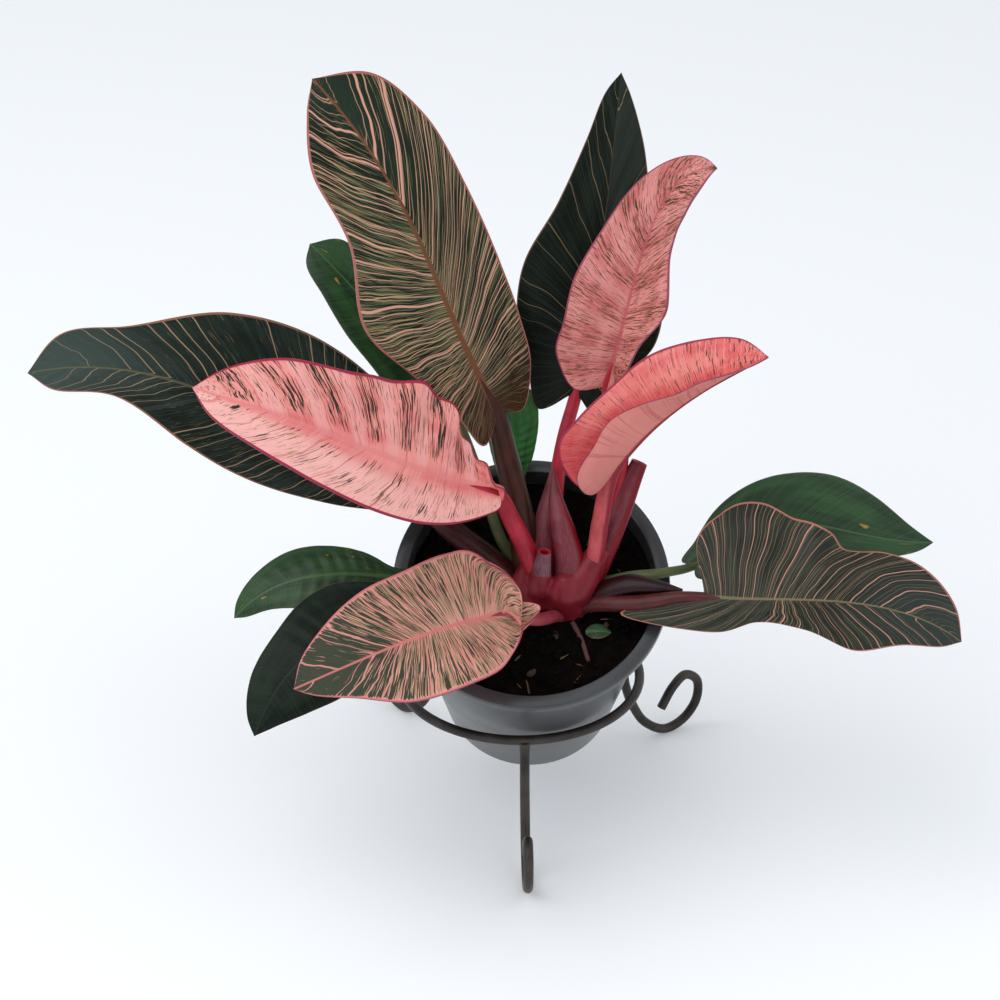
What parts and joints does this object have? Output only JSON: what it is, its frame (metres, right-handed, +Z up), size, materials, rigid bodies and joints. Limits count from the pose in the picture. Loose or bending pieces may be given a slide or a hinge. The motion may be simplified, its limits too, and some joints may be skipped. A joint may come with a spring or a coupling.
{
  "type": "potted variegated philodendron",
  "caption": "Variegated philodendron with pink, striped and green leaves on long stalks, in a tilted round nursery pot held by a wire ring stand on curled rod legs.",
  "frame": {"origin": "bottom centre of the bounding box, on the floor under the stand", "axes": "+Z up; +X to the right and +Y away from the camera of the reference view, so the pot leans toward -Y"},
  "size_m": [0.3974, 0.2036, 0.3426],
  "materials": {
    "stand_iron": "satin",
    "pot_plastic": "satin",
    "soil": "matte",
    "leaf_striped": "satin",
    "leaf_pink": "satin",
    "leaf_dark": "satin",
    "leaf_green": "satin",
    "stalk_dark": "satin",
    "stalk_crimson": "satin",
    "stalk_pink": "satin",
    "stalk_olive": "satin",
    "sheath": "satin",
    "crown": "satin",
    "twig": "matte"
  },
  "bodies": {
    "root": {"stand_ring": "stand_iron", "stand_leg_front": "stand_iron", "stand_leg_right": "stand_iron", "stand_leg_left": "stand_iron", "pot": "pot_plastic", "leaf_tall_striped": "leaf_striped", "leaf_long_left": "leaf_striped", "leaf_pink_left": "leaf_pink", "leaf_dark_back": "leaf_dark", "leaf_pink_right": "leaf_pink", "leaf_rolled_young": "leaf_pink", "leaf_striped_front": "leaf_striped", "leaf_striped_right": "leaf_striped", "leaf_green_right": "leaf_green", "leaf_green_left": "leaf_green", "leaf_dark_front": "leaf_dark", "leaf_green_back": "leaf_green", "leaf_small_back": "leaf_green", "crown": "crown", "sheath_middle": "sheath", "sheath_left": "sheath", "sheath_right": "sheath", "sheath_stub": "sheath", "sheath_low": "sheath", "petiole_tall_striped": "stalk_dark", "petiole_long_left": "stalk_dark", "petiole_pink_left": "stalk_crimson", "petiole_dark_back": "stalk_crimson", "petiole_pink_right": "stalk_crimson", "petiole_rolled_young": "stalk_pink", "petiole_striped_front": "stalk_pink", "petiole_striped_right": "stalk_dark", "petiole_green_right": "stalk_olive", "petiole_green_left": "stalk_olive", "petiole_dark_front": "stalk_dark", "petiole_green_back": "stalk_olive", "petiole_small_back": "stalk_olive", "twig": "twig", "seedling_leaf": "leaf_green", "soil": "soil"}
  },
  "joints": []
}
